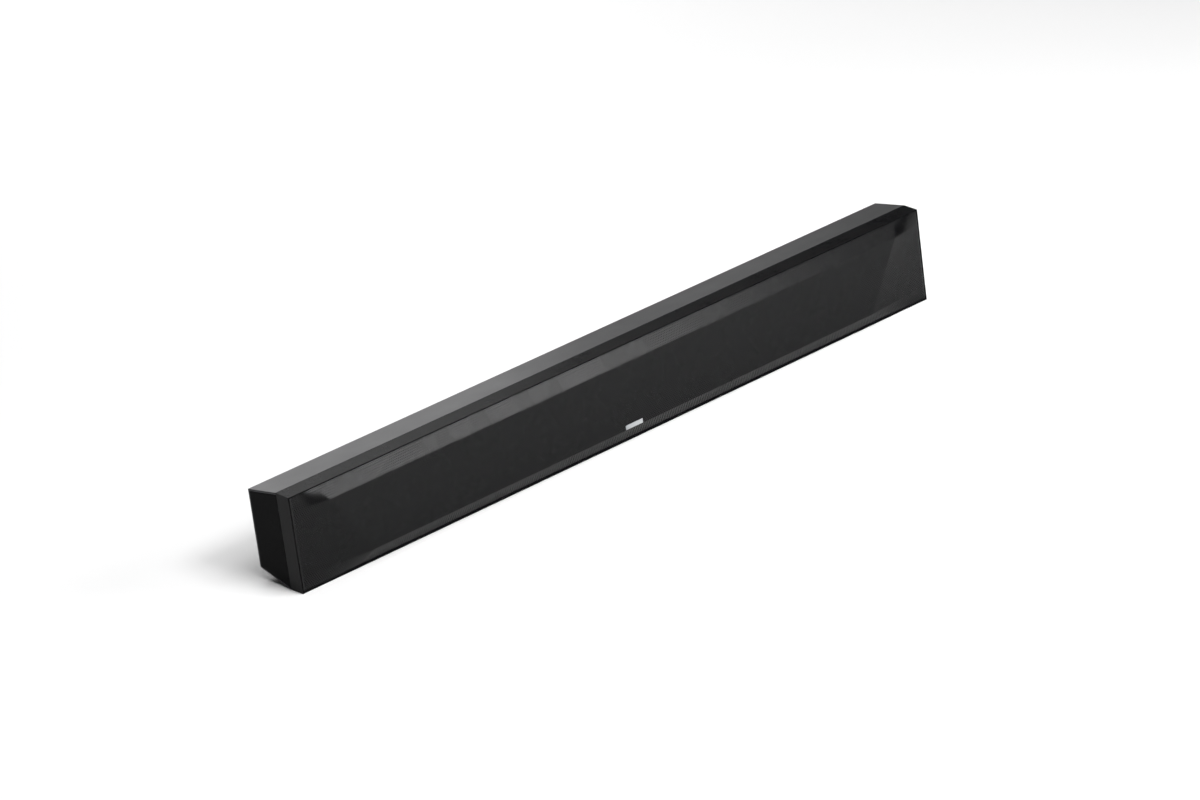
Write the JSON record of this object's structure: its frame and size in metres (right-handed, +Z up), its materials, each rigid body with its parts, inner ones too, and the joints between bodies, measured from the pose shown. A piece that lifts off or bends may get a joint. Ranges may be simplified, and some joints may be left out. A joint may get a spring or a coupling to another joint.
{
  "type": "soundbar",
  "caption": "Long black soundbar with a proud faceted perforated grille in a moulded frame, a tapering rear housing, drivers inside and a recessed rear socket bay.",
  "frame": {"origin": "on the floor under the middle of the object's box", "axes": "+X along the bar, to the right seen from the front; -Y out of the grille; +Z up"},
  "size_m": [1, 0.0848, 0.121],
  "materials": {
    "housing_black": "extruded, bead blasted and anodised black",
    "moulded_black": "injection moulded ABS, fine satin",
    "grille_black": "perforated steel, powder coated black",
    "scrim_cloth": "open woven black acoustic cloth",
    "badge_metal": "brushed, blank",
    "fibreboard": "medium density fibreboard",
    "foam_rubber": "closed cell foam",
    "driver_frame": "pressed steel, painted",
    "magnet_steel": "plated steel and ferrite",
    "cone_paper": "pressed paper pulp, doped",
    "surround_rubber": "butyl rubber",
    "spider_cloth": "resin treated corrugated cotton",
    "dome_silk": "coated silk",
    "screw_steel": "black zinc plated",
    "wadding_fibre": "polyester fibre",
    "wire_sheath": "PVC sheath",
    "circuit_board": "solder mask on glass fibre",
    "heat_sink_metal": "extruded, plain",
    "standoff_brass": "turned",
    "socket_metal": "nickel plated",
    "socket_black": "moulded nylon",
    "button_grey": "moulded",
    "button_red": "moulded",
    "clear_acrylic": "clear moulded acrylic",
    "window_red": "infrared passing acrylic",
    "feet_rubber": "moulded rubber"
  },
  "bodies": {
    "root": {"rear_housing": "housing_black", "left_end_cap": "moulded_black", "right_end_cap": "moulded_black", "front_frame": "moulded_black", "grille_panel": "grille_black", "connector_bay": "moulded_black", "mains_inlet": "socket_black", "ethernet_socket": "socket_metal", "hdmi_sockets": "socket_metal", "optical_socket": "socket_black", "usb_socket": "socket_metal", "wall_inserts": "standoff_brass", "rear_feet": "feet_rubber", "grille_scrim": "scrim_cloth", "grille_carrier": "moulded_black", "badge_plate": "badge_metal", "baffle": "fibreboard", "baffle_gasket": "foam_rubber", "woofer_1_basket": "driver_frame", "woofer_2_basket": "driver_frame", "woofer_3_basket": "driver_frame", "woofer_4_basket": "driver_frame", "woofer_1_motor": "magnet_steel", "woofer_2_motor": "magnet_steel", "woofer_3_motor": "magnet_steel", "woofer_4_motor": "magnet_steel", "woofer_1_surround": "surround_rubber", "woofer_2_surround": "surround_rubber", "woofer_3_surround": "surround_rubber", "woofer_4_surround": "surround_rubber", "woofer_1_spider": "spider_cloth", "woofer_2_spider": "spider_cloth", "woofer_3_spider": "spider_cloth", "woofer_4_spider": "spider_cloth", "tweeter_1_body": "magnet_steel", "tweeter_2_body": "magnet_steel", "tweeter_1_surround": "surround_rubber", "tweeter_2_surround": "surround_rubber", "front_screws": "screw_steel", "housing_screws": "screw_steel", "left_divider": "fibreboard", "right_divider": "fibreboard", "left_wadding": "wadding_fibre", "right_wadding": "wadding_fibre", "speaker_wiring": "wire_sheath", "power_supply": "circuit_board", "amplifier_board": "circuit_board", "heat_sink": "heat_sink_metal", "board_standoffs": "standoff_brass", "connector_board": "circuit_board", "light_guide": "clear_acrylic", "infrared_window": "window_red"},
    "woofer_1": {"woofer_1_cone": "cone_paper"},
    "woofer_2": {"woofer_2_cone": "cone_paper"},
    "woofer_3": {"woofer_3_cone": "cone_paper"},
    "woofer_4": {"woofer_4_cone": "cone_paper"},
    "tweeter_1": {"tweeter_1_dome": "dome_silk"},
    "tweeter_2": {"tweeter_2_dome": "dome_silk"},
    "setup_button": {"setup_button": "button_grey"},
    "reset_button": {"reset_button": "button_red"}
  },
  "joints": [
    {"name": "woofer_1_stroke", "type": "slide", "parent": "root", "child": "woofer_1", "axis": [0, 1, 0], "range_m": [-0.003, 0.003], "stiffness_N_per_m": 1200, "deforming": ["woofer_1_surround", "woofer_1_spider"]},
    {"name": "woofer_2_stroke", "type": "slide", "parent": "root", "child": "woofer_2", "axis": [0, 1, 0], "range_m": [-0.003, 0.003], "stiffness_N_per_m": 1200, "deforming": ["woofer_2_surround", "woofer_2_spider"]},
    {"name": "woofer_3_stroke", "type": "slide", "parent": "root", "child": "woofer_3", "axis": [0, 1, 0], "range_m": [-0.003, 0.003], "stiffness_N_per_m": 1200, "deforming": ["woofer_3_surround", "woofer_3_spider"]},
    {"name": "woofer_4_stroke", "type": "slide", "parent": "root", "child": "woofer_4", "axis": [0, 1, 0], "range_m": [-0.003, 0.003], "stiffness_N_per_m": 1200, "deforming": ["woofer_4_surround", "woofer_4_spider"]},
    {"name": "tweeter_1_stroke", "type": "slide", "parent": "root", "child": "tweeter_1", "axis": [0, 1, 0], "range_m": [-0.0005, 0.0005], "stiffness_N_per_m": 800, "deforming": ["tweeter_1_surround"]},
    {"name": "tweeter_2_stroke", "type": "slide", "parent": "root", "child": "tweeter_2", "axis": [0, 1, 0], "range_m": [-0.0005, 0.0005], "stiffness_N_per_m": 800, "deforming": ["tweeter_2_surround"]},
    {"name": "setup_press", "type": "slide", "parent": "root", "child": "setup_button", "axis": [0, -1, 0], "range_m": [0, 0.0008], "stiffness_N_per_m": 900, "springref_m": -0.0008},
    {"name": "reset_press", "type": "slide", "parent": "root", "child": "reset_button", "axis": [0, -1, 0], "range_m": [0, 0.0008], "stiffness_N_per_m": 900, "springref_m": -0.0008}
  ]
}
